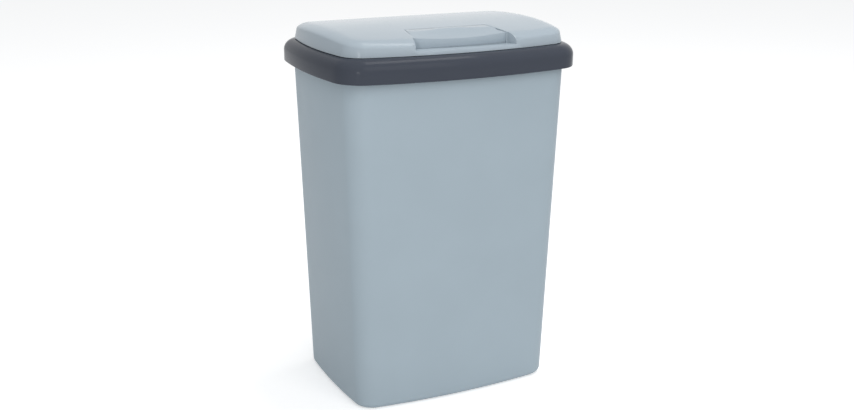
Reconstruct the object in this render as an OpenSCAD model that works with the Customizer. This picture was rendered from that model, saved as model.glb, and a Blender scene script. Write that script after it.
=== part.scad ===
// Countertop bin with a push-to-open lid: a tapered bin, a collar that lifts off its rim,
// a domed lid hinged at the back of the collar, and a push pad that lets the lid's catch go.
// Front is -Y, +Z is up, and the origin is the middle of the base on the floor.

/* [Collar] */
// Width over the collar
collar_w = 240; // [210:1:300]
// Depth over the collar, at its middle
collar_d = 181; // [160:1:230]
// Height of the collar's lower edge above the floor
collar_z = 301.5; // [220:0.5:400]
// Height of the collar from its lower edge to its flat top
collar_h = 20.3; // [19:0.1:26]
// Corner radius of the collar's outline
collar_r = 18.5; // [16:0.5:26]
// How far the front and back edges bow outwards
bow_y = 12.5; // [6:0.5:14]
// How far the two end edges bow outwards
bow_x = 7.3; // [3:0.1:9]
// Rounding of the collar's upper outside edge
collar_round = 10; // [8:0.5:12]
// Thickness of the collar's walls
collar_wall = 2.2; // [1.6:0.1:2.6]
// Width of the collar's rim, from its outside to its mouth
rim_w = 22; // [20:0.5:26]
// Depth of the skirt that hangs down round the mouth
throat_h = 16; // [13:0.5:20]

/* [Bin] */
// Width of the bin at the base
base_w = 198.6; // [180:0.2:206]
// Depth of the bin at the base
base_d = 143.3; // [130:0.1:146]
// Corner radius at the base
base_r = 13.8; // [12:0.2:20]
// Bow of the front and back at the base
base_bow_y = 6.6; // [2:0.1:10]
// Bow of the ends at the base
base_bow_x = 3.3; // [1:0.1:6]
// Rounding where the sides meet the base
base_round = 6.2; // [4:0.1:8]
// Distance from the collar's outside to the bin's outside at the rim
bin_inset = 7.3; // [7:0.1:8.5]
// Thickness of the bin's wall
bin_wall = 2.4; // [1.8:0.1:3]
// Thickness of the bin's floor
floor_t = 3; // [2:0.1:5]
// Width of the foot that runs round under the base
foot_w = 6; // [4:0.5:12]
// Height of the foot
foot_h = 2.5; // [1.5:0.1:4]

/* [Lid] */
// Distance from the collar's outside to the lid's lower edge
lid_inset = 10.7; // [10.2:0.1:12]
// How much nearer the lid's ends come to the collar's ends than its front does to the front
lid_end = 2.6; // [1.5:0.1:2.8]
// Height of the lid's highest point above the collar's top
lid_h = 17; // [16:0.1:20]
// Drop of the lid's arch from the middle to its front and back edges
lid_arch = 5.8; // [4:0.1:6.5]
// How far the lid's walls lean in between the edge and the shoulder
lid_lean = 1.5; // [0.6:0.1:2.4]
// Drop of the shoulder, from the crease round the lid's top to its wall
shoulder_h = 5; // [4:0.1:5.6]
// Width of the shoulder at the ends
shoulder_x = 11.8; // [9:0.1:14]
// Width of the shoulder at the front and back
shoulder_y = 11.4; // [9:0.1:13]
// Share of the shoulder's drop that falls straight, which makes its crease
shoulder_edge = 0.32; // [0.2:0.01:0.5]
// Corner radius of the crease
crease_r = 7; // [5:0.5:9]
// Bow of the crease at the front and back
crease_bow_y = 6; // [4:0.5:8]
// Bow of the crease at the ends
crease_bow_x = 3; // [2:0.1:4]
// Thickness of the lid
lid_wall = 2.2; // [1.8:0.1:2.6]
// Gap between the lid's lower edge and the collar
lid_gap = 0.4; // [0.3:0.05:0.8]

/* [Hinge] */
// Distance of the hinge pins in front of the collar's back edge
hinge_inset = 8; // [7.5:0.1:10]
// Height of the hinge pins above the collar's top
hinge_h = 3.2; // [3:0.1:4]
// Distance of the middle of each hinge from the centre line
hinge_x = 50; // [40:1:60]
// Diameter of the hinge pins
pin_d = 3; // [2:0.1:3.4]
// Radius of the collar's hinge lugs
lug_r = 3.6; // [3:0.1:4]
// Thickness of each hinge lug
lug_t = 4; // [3:0.1:5]
// Radius of the lid's knuckles
knuckle_r = 3.4; // [3:0.1:3.6]
// Width of the lid's knuckles
knuckle_w = 6.8; // [5:0.1:9]
// Wire of the torsion springs
spring_wire = 0.7; // [0.5:0.1:0.8]
// Turns of each torsion spring
spring_turns = 3; // [2:1:3]

/* [Push pad] */
// Half of the width of the finger notch in the lid's front
notch_x = 46; // [42:1:52]
// Height of the notch's ledge above the collar's top
ledge_h = 3.8; // [3.4:0.1:4.6]
// How much wider the notch is at the collar's front than at its back wall, each side
notch_flare = 6; // [4:0.5:7]
// Radius of the notch's inner corners
notch_r = 1.5; // [1:0.1:2]
// Width of the ledge, from the lid's front edge inwards
ledge_w = 13.2; // [12:0.1:14]
// Radius of the bow of the notch's back wall
notch_bow_r = 360; // [250:10:600]
// Length of the pad, from the back of the ledge to the pad's straight back edge
pad_run = 32.1; // [30:0.1:34]
// How much narrower the pad is at its back than at its face, each side
pad_taper = 5.5; // [4:0.1:6.5]
// Height of the pad's lip above the collar's top, at its middle
dish_z = 10.9; // [10.5:0.1:12]
// Rise of the scoop from its middle to its ends
dish_sag = 1.9; // [1.6:0.1:2.1]
// Distance from the pad's lip to the upper edge of the dish's back wall
dish_d = 25; // [23:0.5:26]
// Distance from that edge to the wall's foot
dish_run = 5; // [4:0.5:6]
// Rise of the dish's floor from the lip to the wall's foot
dish_rise = 1.3; // [1:0.1:1.6]
// How far the wall's upper edge comes forward at its ends
edge_bow = 6.7; // [5:0.1:8]
// How far the wall's foot comes forward at its ends
foot_bow = 10.5; // [9:0.5:12]
// Thickness of the pad
pad_wall = 2.2; // [1.8:0.1:2.6]
// Running gap round the pad
pad_gap = 0.4; // [0.3:0.05:0.6]
// Depth of the curtain that the lid has round the pad
curtain_h = 6; // [5:0.5:7]
// Diameter of the pad's pivot pin
pad_pin_d = 2.4; // [1.6:0.1:2.8]
// Distance of the pivot pin in front of the pad's back edge
pivot_inset = 4.5; // [4:0.1:6]
// Height of the pivot pin above the collar's top
pivot_h = 4.6; // [4.4:0.1:5]
// Thickness of the cheeks that hold the pivot pin
cheek_t = 2.4; // [2:0.1:3]
// Radius of the cheeks round the pivot pin
cheek_r = 3.2; // [2.8:0.1:3.4]

/* [Catch] */
// Thickness of the carrier's floor
carrier_t = 2; // [1.6:0.1:2.6]
// Drop of the carrier's floor below the collar's top
carrier_drop = 6; // [5:0.5:8]
// Thickness of the carrier's uprights
upright_t = 2.4; // [2:0.1:3]
// Radius of the uprights round the pivot pin
upright_r = 3.4; // [3:0.1:3.8]
// How far the carrier's flanges' screws stand outside the notch
flange_out = 12; // [11:0.5:14]
// Distance from a screw to the edge of the piece that it holds
screw_edge = 4; // [3.5:0.1:4.5]
// Width of the catch hook
hook_w = 16; // [10:0.5:24]
// Thickness of the hook's stem
hook_t = 2.4; // [1.8:0.1:3]
// Reach of the hook's nose in front of its stem
nose_reach = 3.2; // [2:0.1:3.6]
// Height of the hook's nose
nose_h = 4; // [3:0.1:6]
// Clearance between the hook's nose and the keeper as the lid swings
nose_gap = 1.1; // [1:0.1:1.6]
// Width of the keeper
keeper_w = 24; // [20:0.5:32]
// Depth of the keeper, from its seat to its edge
keeper_d = 2.6; // [2:0.1:3]
// Height of the keeper
keeper_h = 9; // [8:0.5:10]
// Outside diameter of the pad's return springs
return_d = 6; // [5:0.1:7]
// Turns of each return spring
return_turns = 5; // [3:1:7]
// Wire of the return springs
return_wire = 0.7; // [0.5:0.1:0.8]
// Distance of the return springs from the centre line
return_x = 28; // [24:1:34]
// Distance of the return springs in front of the pivot pin
return_lead = 12; // [10:0.5:13]

/* [Fasteners and buffers] */
// Shank diameter of the screws
screw_d = 2.4; // [2:0.1:2.8]
// Head diameter of the screws
head_d = 4.6; // [4:0.1:5]
// Head height of the screws
head_h = 1.5; // [1.2:0.1:1.8]
// Diameter of the rubber buffers
buffer_d = 6; // [5:0.5:7]
// Thickness of the rubber buffers
buffer_t = 1.5; // [1:0.1:2]
// Distance of the buffers from the collar's ends
buffer_inset = 50; // [46:1:54]
// Outside diameter of the posts that screws run into
boss_d = 5.6; // [5:0.1:6.4]
// How far the carrier's screws run into the lid's posts
post_bite = 4; // [3:0.5:4]
// How far the hook's screws run into the pad's posts
pad_bite = 2.5; // [2:0.1:2.6]

/* [Hidden] */
$fn = 48;

// Segments of a corner, of a side and of a rounding in the lofted shells
arc_n = 6;
side_n = 8;
round_n = 5;

// Rings of one curl of a spring, and sides of its wire
curl_n = 8;
wire_sides = 6;

// Small distances that many pieces share
seat_gap = 0.3;
slip = 0.05;
over = 1;
// How far a rib stops short of the far face of the wall that it grows from
short = 0.2;
// How far two pieces of one moulding run into each other
bite = 0.6;
// How far a straight wire end of a torsion spring runs into its lug
spring_hook = 1.6;
// A spring's curls are drawn as straight lengths, so their corners stand a little further out
coil_r = (pin_d / 2 + 0.2 + spring_wire / 2) / cos(180 / curl_n);

// Heights
collar_top = collar_z + collar_h;
rim_z = collar_top - collar_wall - seat_gap;
lid_z = collar_top + lid_gap;
lid_top = collar_top + lid_h;
ledge_z = collar_top + ledge_h;
hinge_y = collar_d / 2 - hinge_inset;

// Points of a rounded rectangle with half sizes a and b, and then with bowed sides
function flat(v) = [for (a = v) for (b = a) b];
function polar(c, r, t) = [c.x + r * cos(t), c.y + r * sin(t)];
function corner(a, b, r, k) = [(k == 0 || k == 3 ? 1 : -1) * (a - r), (k < 2 ? 1 : -1) * (b - r)];
function rounded(a, b, r) = flat([
    for (k = [0:3])
        let (
            c = corner(a, b, r, k),
            from = polar(c, r, 90 * k + 90),
            to = polar(corner(a, b, r, (k + 1) % 4), r, 90 * k + 90)
        )
        concat(
            [for (i = [0:arc_n]) polar(c, r, 90 * (k + i / arc_n))],
            [for (j = [1:side_n - 1]) from + (to - from) * j / side_n]
        )
]);
function bowed(w, d, r, by, bx) =
    let (a = w / 2 - bx, b = d / 2 - by)
    [
        for (p = rounded(a, b, r)) [
            p.x + sign(p.x) * bx * (1 - pow(p.y / b, 2)),
            p.y + sign(p.y) * by * (1 - pow(p.x / a, 2))
        ]
    ];
function lift(points, z) = [for (p = points) [p.x, p.y, z]];

// The collar's outline at a distance inside its outside, and the bin's at its base and rim
function collar_line(inset) =
    bowed(collar_w - 2 * inset, collar_d - 2 * inset, collar_r - inset / 2, bow_y, bow_x);
function base_line(inset) =
    bowed(base_w - 2 * inset, base_d - 2 * inset, base_r - inset / 2, base_bow_y, base_bow_x);
function collar_ring(inset, z) = lift(collar_line(inset), z);
function base_ring(inset, z) = lift(base_line(inset), z);
function bin_ring(inset, z) =
    let (
        t = (z - base_round) / (rim_z - base_round),
        low = base_line(inset),
        high = collar_line(bin_inset + inset)
    )
    [
        for (i = [0:len(low) - 1])
            let (p = low[i] + (high[i] - low[i]) * t)
            [p.x, p.y, z]
    ];

// Where an outline that is inset from the collar's crosses a given x, on the front or back
function edge_y(inset, x) =
    let (a = collar_w / 2 - inset - bow_x, b = collar_d / 2 - inset - bow_y)
    b + bow_y * (1 - pow(x / a, 2));

// The lid's arched top, and its rings: t runs over the shoulder, v from its inner edge to the middle
lid_half = collar_d / 2 - lid_inset;
function arch_z(y) = lid_top - lid_arch * pow(y / lid_half, 2);
function between(a, b, t) = a + (b - a) * t;
function lid_line(inset, t) =
    bowed(
        collar_w - 2 * (lid_inset - lid_end + inset + shoulder_x * t),
        collar_d - 2 * (lid_inset + inset + shoulder_y * t),
        between(collar_r - lid_inset / 2, crease_r, t) - inset / 2,
        between(bow_y, crease_bow_y, t),
        between(bow_x, crease_bow_x, t)
    );
function shoulder_fall(u) = between(1 - sqrt(1 - pow(u, 2)), u, shoulder_edge);
function shoulder_z(y, t) = arch_z(y) - shoulder_h * shoulder_fall(1 - t);
function shoulder_ring(inset, drop, t) =
    [for (p = lid_line(inset, t)) [p.x, p.y, shoulder_z(p.y, t) - drop]];
function top_ring(inset, drop, v) =
    [for (p = lid_line(inset, 1)) [p.x * (1 - v), p.y * (1 - v), arch_z(p.y * (1 - v)) - drop]];
function lid_rings(inset, drop) = concat(
    [for (i = [0:round_n]) shoulder_ring(inset + lid_lean, drop, 1 - cos(90 * i / round_n))],
    [for (v = [0.15, 0.32, 0.5, 0.7, 0.88]) top_ring(inset + lid_lean, drop, v)]
);

// A skin over rings of equal length: a closed loop of rings, or ends closed by a face or a point
function skin_quads(n, m, wrap) = flat([
    for (j = [0:m - (wrap ? 1 : 2)])
        [
            for (i = [0:n - 1])
                let (a = j * n + i, b = j * n + (i + 1) % n, c = ((j + 1) % m) * n)
                [a, c + i, b]
        ]
]);
function skin_quads_2(n, m, wrap) = flat([
    for (j = [0:m - (wrap ? 1 : 2)])
        [
            for (i = [0:n - 1])
                let (b = j * n + (i + 1) % n, c = ((j + 1) % m) * n)
                [b, c + i, c + (i + 1) % n]
        ]
]);
function skin_faces(n, m, wrap) = concat(skin_quads(n, m, wrap), skin_quads_2(n, m, wrap));

// Rings that run round a frame and meet again
module frame_skin(rings) {
    polyhedron(flat(rings), skin_faces(len(rings[0]), len(rings), true), convexity = 6);
}

// Rings that run from one middle point over the outside and back to another
module shell_skin(first, rings, last) {
    n = len(rings[0]);
    m = len(rings);
    points = concat(flat(rings), [first, last]);
    start = [for (i = [0:n - 1]) [i, (i + 1) % n, n * m]];
    end = [for (i = [0:n - 1]) [(m - 1) * n + (i + 1) % n, (m - 1) * n + i, n * m + 1]];
    polyhedron(points, concat(skin_faces(n, m, false), start, end), convexity = 6);
}

// A round rod along X
module rod(x, w, r, y, z) {
    translate([x - w / 2, y, z]) rotate([0, 90, 0]) cylinder(r = r, h = w);
}

// A box given by its two corners
module block(low, high) {
    translate(low) cube(high - low);
}

// A tube of wire along a list of points, each ring square to the way
function unit(v) = v / norm(v);
function way(p, i) = unit(p[min(i + 1, len(p) - 1)] - p[max(i - 1, 0)]);
function across(d, hint) = unit(cross(d, hint));
module wire(p, d, hint) {
    rings = [
        for (i = [0:len(p) - 1])
            let (run = way(p, i), u = across(run, hint), w = cross(u, run))
            [
                for (k = [0:wire_sides - 1])
                    let (a = 360 * k / wire_sides)
                    p[i] + d / 2 * (cos(a) * u + sin(a) * w)
            ]
    ];
    shell_skin(p[0], rings, p[len(p) - 1]);
}

// Least gap of a wound wire to itself, over all pairs of points at least half a curl apart
function least_gap(p, d) =
    min([for (i = [0:len(p) - 1]) for (j = [i + curl_n / 2:1:len(p) - 1]) norm(p[i] - p[j])]) - d;

// Bin
module bin_body() {
    inner = [for (i = [0:round_n]) 90 * i / round_n];
    outside = concat(
        [base_ring(base_round + foot_w, foot_h), base_ring(base_round + foot_w, 0)],
        [
            for (t = inner)
                base_ring(base_round * (1 - sin(t)), base_round * (1 - cos(t)))
        ],
        [bin_ring(0, rim_z - bin_wall / 2), bin_ring(bin_wall / 2, rim_z)]
    );
    inside = concat(
        [bin_ring(bin_wall * 0.8, rim_z), bin_ring(bin_wall, rim_z - bin_wall / 2)],
        [
            for (i = [round_n:-1:0])
                base_ring(
                    bin_wall + base_round * (1 - sin(inner[i])),
                    foot_h + floor_t + base_round * (1 - cos(inner[i]))
                )
        ]
    );
    color([0.66, 0.72, 0.76])
    shell_skin([0, 0, foot_h], concat(outside, inside), [0, 0, foot_h + floor_t]);
}

// Collar
module collar_ring_skin() {
    turn = [for (i = [0:round_n]) 90 * i / round_n];
    inner_round = collar_round - collar_wall;
    round_z = collar_top - collar_round;
    frame_skin(concat(
        [collar_ring(0, collar_z)],
        [
            for (t = turn)
                collar_ring(collar_round * (1 - cos(t)), round_z + collar_round * sin(t))
        ],
        [
            collar_ring(rim_w - 0.8, collar_top),
            collar_ring(rim_w, collar_top - 0.8),
            collar_ring(rim_w, collar_top - throat_h),
            collar_ring(rim_w - collar_wall, collar_top - throat_h)
        ],
        [collar_ring(rim_w - collar_wall, collar_top - collar_wall)],
        [
            for (i = [round_n:-1:0])
                collar_ring(collar_round - inner_round * cos(turn[i]), round_z + inner_round * sin(turn[i]))
        ],
        [collar_ring(collar_wall, collar_z)]
    ));
}

hinge_z = collar_top + hinge_h;
spring_w = 4;
side_gap = 0.3;
hinge_w = 2 * lug_t + knuckle_w + spring_w + 3 * side_gap;
// Middles of the lugs, the knuckle and the spring, counted outwards from the centre line
inner_lug_x = hinge_x - hinge_w / 2 + lug_t / 2;
spring_x = inner_lug_x + lug_t / 2 + side_gap + spring_w / 2;
knuckle_x = spring_x + spring_w / 2 + side_gap + knuckle_w / 2;
outer_lug_x = hinge_x + hinge_w / 2 - lug_t / 2;

// A lug stands on the rim, and its back half runs down inside the rim's rounding
module lug(x) {
    rod(x, lug_t, lug_r, hinge_y, hinge_z);
    block(
        [x - lug_t / 2, hinge_y - lug_r, collar_top - collar_wall + short],
        [x + lug_t / 2, hinge_y + lug_r, hinge_z]
    );
    block(
        [x - lug_t / 2, hinge_y + lug_r / 9, collar_top - collar_round * 0.8],
        [x + lug_t / 2, hinge_y + lug_r, hinge_z]
    );
}

// The keeper's flat seat on the front of the throat, a little wider than the keeper
seat_half = keeper_w / 2 + 2;
seat_rise = 0.5;
seat_y = seat_rise - edge_y(rim_w, seat_half);
keeper_z = collar_top - throat_h + seat_rise;
keeper_screw_x = keeper_w / 2 - head_d / 2 - 1;
keeper_screw_z = keeper_z + keeper_h / 2;

// Rubber buffers on the rim, under two posts of the lid
buffer_x = collar_w / 2 - buffer_inset;
buffer_y = -edge_y((lid_inset + lid_wall + lid_lean + rim_w) / 2, buffer_x);

module collar() {
    color([0.28, 0.3, 0.33])
    difference() {
        union() {
            collar_ring_skin();
            for (s = [-1, 1]) {
                lug(s * inner_lug_x);
                lug(s * outer_lug_x);
            }
            block(
                [-seat_half, seat_y - collar_wall - bite, collar_top - throat_h],
                [seat_half, seat_y, collar_top - collar_wall / 2]
            );
        }
        for (s = [-1, 1]) {
            rod(s * hinge_x, hinge_w + 2, pin_d / 2, hinge_y, hinge_z);
            rod(s * knuckle_x, knuckle_w + 2 * side_gap, knuckle_r + 0.5, hinge_y, hinge_z);
            rod(s * spring_x, spring_w + 2 * side_gap, knuckle_r + 0.5, hinge_y, hinge_z);
            rod(
                s * (spring_x - spring_w / 2), 2 * spring_hook,
                spring_wire / 2 + slip, hinge_y - coil_r, hinge_z
            );
            translate([s * keeper_screw_x, seat_y + 1, keeper_screw_z])
            rotate([90, 0, 0])
            cylinder(d = screw_d, h = collar_wall + 3);
        }
    }
}

// Lid
face_y = -lid_half + ledge_w;
pad_back = -face_y - pad_run;
pad_x = notch_x - notch_r;
pad_end_x = pad_x - pad_taper;
// The pad's pivot, under the back of the pad
pivot_y = -pad_back - pivot_inset;
pivot_z = collar_top + pivot_h;
// The carrier's flanges, outside the notch, and the lid's screw posts over them
flange_x = notch_x + flange_out;
flange_z = collar_top + short;
boss_y = [pivot_y - 2.5 * screw_edge, pivot_y + screw_edge / 4];
curtain_t = 1.6;
knuckle_web = 2;

// The lid's outside as a solid, and the same lowered by its wall
module lid_form(inset, drop, low) {
    rings = concat([lift(lid_line(inset, 0), low)], lid_rings(inset, drop));
    shell_skin([0, 0, low], rings, [0, 0, arch_z(0) - drop]);
}

// The notch in plan: open to the front, with a bowed back and rounded inner corners
function bow_back(x) = notch_bow_r - sqrt(pow(notch_bow_r, 2) - pow(x, 2));
function notch_line(back, grow) =
    let (
        half = notch_x + grow,
        end = back + grow,
        r = notch_r + grow,
        inner = half - r,
        mid = end + bow_back(inner) - r
    )
    concat(
        [[half + notch_flare, -collar_d / 2]],
        [for (a = [0:15:90]) [inner + r * cos(a), mid + r * sin(a)]],
        [for (i = [1:7]) let (x = inner * (1 - i / 4)) [x, end + bow_back(x)]],
        [for (a = [90:-15:0]) [-inner - r * cos(a), mid + r * sin(a)]],
        [[-half - notch_flare, -collar_d / 2]]
    );

// The space of the notch, from a height up through the lid's top
module notch_space(grow, low) {
    translate([0, 0, low])
    linear_extrude(lid_top + over - low)
    polygon(notch_line(face_y, grow));
}

// The pad in plan
module pad_plan(grow) {
    polygon([
        [-pad_end_x - grow, -pad_back + grow],
        [pad_end_x + grow, -pad_back + grow],
        for (i = [0:8]) let (x = (pad_x + grow) * (1 - i / 4)) [x, face_y + bow_back(x) - grow]
    ]);
}

module lid() {
    color([0.77, 0.81, 0.85])
    difference() {
        union() {
            difference() {
                lid_form(0, 0, lid_z);
                lid_form(lid_wall, lid_wall, lid_z - over);
            }
            // Walls of the notch, the curtain round the pad, and posts for screws and buffers
            intersection() {
                lid_form(0, 0, lid_z);
                union() {
                    notch_space(lid_wall, lid_z + bite);
                    translate([0, 0, arch_z(-pad_back) - curtain_h])
                    linear_extrude(lid_h)
                    pad_plan(pad_gap + curtain_t);
                    for (s = [-1, 1]) {
                        for (y = boss_y) {
                            translate([s * flange_x, y, flange_z + carrier_t])
                            cylinder(d = boss_d, h = lid_h);
                        }
                        translate([s * buffer_x, buffer_y, collar_top + buffer_t + seat_gap])
                        cylinder(d = buffer_d, h = lid_h);
                    }
                }
            }
            for (s = [-1, 1]) {
                rod(s * knuckle_x, knuckle_w, knuckle_r, hinge_y, hinge_z);
                block(
                    [
                        s * knuckle_x - knuckle_w / 2,
                        edge_y(lid_inset, knuckle_x) - lid_wall - bite,
                        hinge_z - knuckle_web
                    ],
                    [s * knuckle_x + knuckle_w / 2, hinge_y, hinge_z + knuckle_web]
                );
            }
        }
        notch_space(0, ledge_z);
        translate([0, 0, lid_z - over]) linear_extrude(lid_h + 2) pad_plan(pad_gap);
        for (s = [-1, 1]) {
            rod(s * knuckle_x, knuckle_w + 1, pin_d / 2 + slip, hinge_y, hinge_z);
            for (y = boss_y) {
                translate([s * flange_x, y, flange_z])
                cylinder(d = screw_d, h = carrier_t + post_bite + over);
            }
        }
    }
}

// Hinge pins and their torsion springs
module hinge_pin(s) {
    color([0.78, 0.79, 0.8])
    rod(s * hinge_x, hinge_w, pin_d / 2, hinge_y, hinge_z);
}

// A torsion spring: its first end sits in the inner lug, its last leg runs out under the lid's knuckle
function torsion_line(s) =
    let (
        turns = spring_turns - 0.25,
        n = curl_n * turns,
        low_x = spring_x - spring_w / 2 + spring_wire / 2,
        high_x = low_x + spring_w - spring_wire,
        leg_z = hinge_z - max(knuckle_web, coil_r - 0.2) - spring_wire / 2 - slip
    )
    concat(
        [
            [s * (low_x - spring_hook), hinge_y - coil_r, hinge_z],
            [s * (low_x - side_gap), hinge_y - coil_r, hinge_z]
        ],
        [
            for (i = [0:n])
                let (a = 360 * turns * i / n)
                [
                    s * (low_x + (high_x - low_x) * i / n),
                    hinge_y - coil_r * cos(a),
                    hinge_z + coil_r * sin(a)
                ]
        ],
        [
            [s * high_x, hinge_y - 1.6, leg_z + 0.1],
            [s * (high_x + 0.4), hinge_y - 2.8, leg_z],
            [s * (high_x + 4), hinge_y - 3.6, leg_z]
        ]
    );

module lid_spring(s) {
    points = torsion_line(s);
    echo(lid_spring_least_gap = least_gap(points, spring_wire));
    color([0.7, 0.71, 0.73])
    wire(points, spring_wire, [0.1, 0.3, 1]);
}

// Rubber buffers
module lid_buffer(s) {
    color([0.15, 0.15, 0.16])
    translate([s * buffer_x, buffer_y, collar_top])
    cylinder(d = buffer_d, h = buffer_t);
}

// Keeper and its screws, on the throat
module latch_keeper() {
    color([0.2, 0.21, 0.23])
    difference() {
        block([-keeper_w / 2, seat_y, keeper_z], [keeper_w / 2, seat_y + keeper_d, keeper_z + keeper_h]);
        for (s = [-1, 1]) {
            translate([s * keeper_screw_x, seat_y - 1, keeper_screw_z])
            rotate([-90, 0, 0])
            cylinder(d = screw_d + 2 * slip, h = keeper_d + 2);
            translate([s * keeper_screw_x, seat_y + keeper_d - head_h, keeper_screw_z])
            rotate([-90, 0, 0])
            cylinder(d = head_d + 0.2, h = head_h + 1);
        }
    }
}

// A screw whose head's top is at the origin and whose shank runs down -Z
module screw(length) {
    translate([0, 0, -head_h])
    difference() {
        cylinder(d = head_d, h = head_h);
        for (a = [0, 90]) {
            rotate(a) translate([-head_d * 0.3, -0.3, head_h - 0.7]) cube([head_d * 0.6, 0.6, 1]);
        }
    }
    translate([0, 0, -length]) cylinder(d = screw_d, h = length - head_h + 0.01);
}

module keeper_screws() {
    color([0.75, 0.76, 0.77])
    for (s = [-1, 1]) {
        translate([s * keeper_screw_x, seat_y + keeper_d, keeper_screw_z])
        rotate([-90, 0, 0])
        screw(keeper_d + collar_wall);
    }
}

// Push pad
pad_floor = collar_top + dish_z;
pad_foot_z = ledge_z - bite;
pad_side_t = 1.6;
cheek_x = pad_end_x - cheek_t / 2 - pad_gap;
// The dish has an almost flat floor and a sloping back wall between two bowed lines
dish_y = face_y + dish_d;
foot_y = dish_y - dish_run;
foot_z = pad_floor + dish_rise;
dish_low = pad_floor - pad_wall;
dish_high = lid_top + 1;
dish_tilt = atan(dish_rise / (foot_y - face_y));
dish_r = pow(pad_x, 2) / (2 * dish_sag);
dish_fn = 900;
dish_steps = 24;
function dish_line(y, bow, x) = y - bow * pow(x / pad_x, 2);
function dish_back(x, z) =
    let (foot = dish_line(foot_y, foot_bow, x), edge = dish_line(dish_y, edge_bow, x))
    foot + (edge - foot) * (z - foot_z) / (arch_z(dish_y) - foot_z);
function dish_ring(z) = concat(
    [[notch_x, -collar_d / 2, z]],
    [for (i = [0:dish_steps]) let (x = notch_x * (1 - 2 * i / dish_steps)) [x, dish_back(x, z), z]],
    [[-notch_x, -collar_d / 2, z]]
);

// The air over the pad
module dish_space() {
    intersection() {
        translate([0, face_y, pad_floor])
        rotate([dish_tilt, 0, 0])
        translate([0, -dish_d, dish_r])
        rotate([-90, 0, 0])
        cylinder(r = dish_r, h = 3 * dish_d, $fn = dish_fn);
        shell_skin(
            [0, face_y, dish_low],
            [dish_ring(dish_low), dish_ring(dish_high)],
            [0, face_y, dish_high]
        );
    }
}

// The room under the pad's floor and behind its face
module pad_room() {
    difference() {
        translate([0, 0, collar_top - over])
        linear_extrude(pad_floor - pad_wall - collar_top + over)
        pad_plan(-pad_side_t);
        translate([0, pad_wall * 1.4, 0]) notch_space(0, lid_z - 2 * over);
    }
}

module push_pad() {
    color([0.77, 0.81, 0.85])
    difference() {
        union() {
            difference() {
                intersection() {
                    lid_form(0, 0, lid_z);
                    translate([0, 0, pad_foot_z]) linear_extrude(lid_h) pad_plan(0);
                }
                dish_space();
                notch_space(0, lid_z - 2 * over);
                pad_room();
            }
            // Cheeks that carry the pivot pin, and bosses for the hook's screws
            for (s = [-1, 1]) {
                rod(s * cheek_x, cheek_t, cheek_r, pivot_y, pivot_z);
                block(
                    [s * cheek_x - cheek_t / 2, pivot_y - cheek_r, pivot_z],
                    [s * cheek_x + cheek_t / 2, pivot_y + cheek_r, pad_floor - pad_wall + 0.5]
                );
                translate([s * hook_screw_x, hook_y, pad_base_z])
                cylinder(d = boss_d, h = pad_floor - pad_base_z - 0.5);
            }
        }
        rod(0, 2 * notch_x, pad_pin_d / 2 + slip, pivot_y, pivot_z);
        for (s = [-1, 1]) {
            translate([s * hook_screw_x, hook_y, pad_base_z - over])
            cylinder(d = screw_d, h = pad_bite + over + bite);
        }
    }
}

// Catch hook under the pad
hook_screw_x = hook_w / 2 + screw_edge;
hook_base_t = carrier_t;
pad_base_z = pad_floor - pad_wall - hook_base_t;
keeper_edge = seat_y + keeper_d;
hook_front = keeper_edge + nose_gap;
hook_y = hook_front + nose_reach + hook_t / 2 + screw_edge / 2;
nose_top = keeper_z - seat_gap;

module latch_hook() {
    stem = hook_front + nose_reach;
    color([0.88, 0.88, 0.86])
    difference() {
        union() {
            block(
                [-hook_screw_x - screw_edge, hook_y - screw_edge, pad_base_z - hook_base_t],
                [hook_screw_x + screw_edge, hook_y + screw_edge, pad_base_z]
            );
            block(
                [-hook_w / 2, stem, nose_top - nose_h],
                [hook_w / 2, stem + hook_t, pad_base_z - hook_base_t / 2]
            );
            translate([-hook_w / 2, 0, 0])
            rotate([90, 0, 90])
            linear_extrude(hook_w)
            polygon([
                [stem + 0.01, nose_top],
                [hook_front, nose_top],
                [hook_front, nose_top - nose_h / 3],
                [stem + 0.01, nose_top - nose_h]
            ]);
        }
        for (s = [-1, 1]) {
            translate([s * hook_screw_x, hook_y, pad_base_z - hook_base_t - over])
            cylinder(d = screw_d + 2 * slip, h = hook_base_t + 2 * over);
        }
    }
}

module hook_screws() {
    color([0.75, 0.76, 0.77])
    for (s = [-1, 1]) {
        translate([s * hook_screw_x, hook_y, pad_base_z - hook_base_t - head_h])
        rotate([180, 0, 0])
        screw(head_h + hook_base_t + pad_bite);
    }
}

// Pivot pin of the pad, held by the carrier's uprights
upright_x = notch_x + lid_wall - short;
pad_pin_w = 2 * (upright_x + over);
module pad_pin() {
    color([0.78, 0.79, 0.8])
    rod(0, pad_pin_w, pad_pin_d / 2, pivot_y, pivot_z);
}

// Carrier under the pad, screwed to the lid
carrier_z = collar_top - carrier_drop;
carrier_front = hook_front + nose_reach - 0.5;
carrier_back = pivot_y + 1.5 * screw_edge;
spring_seat_y = pivot_y - return_lead;

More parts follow.
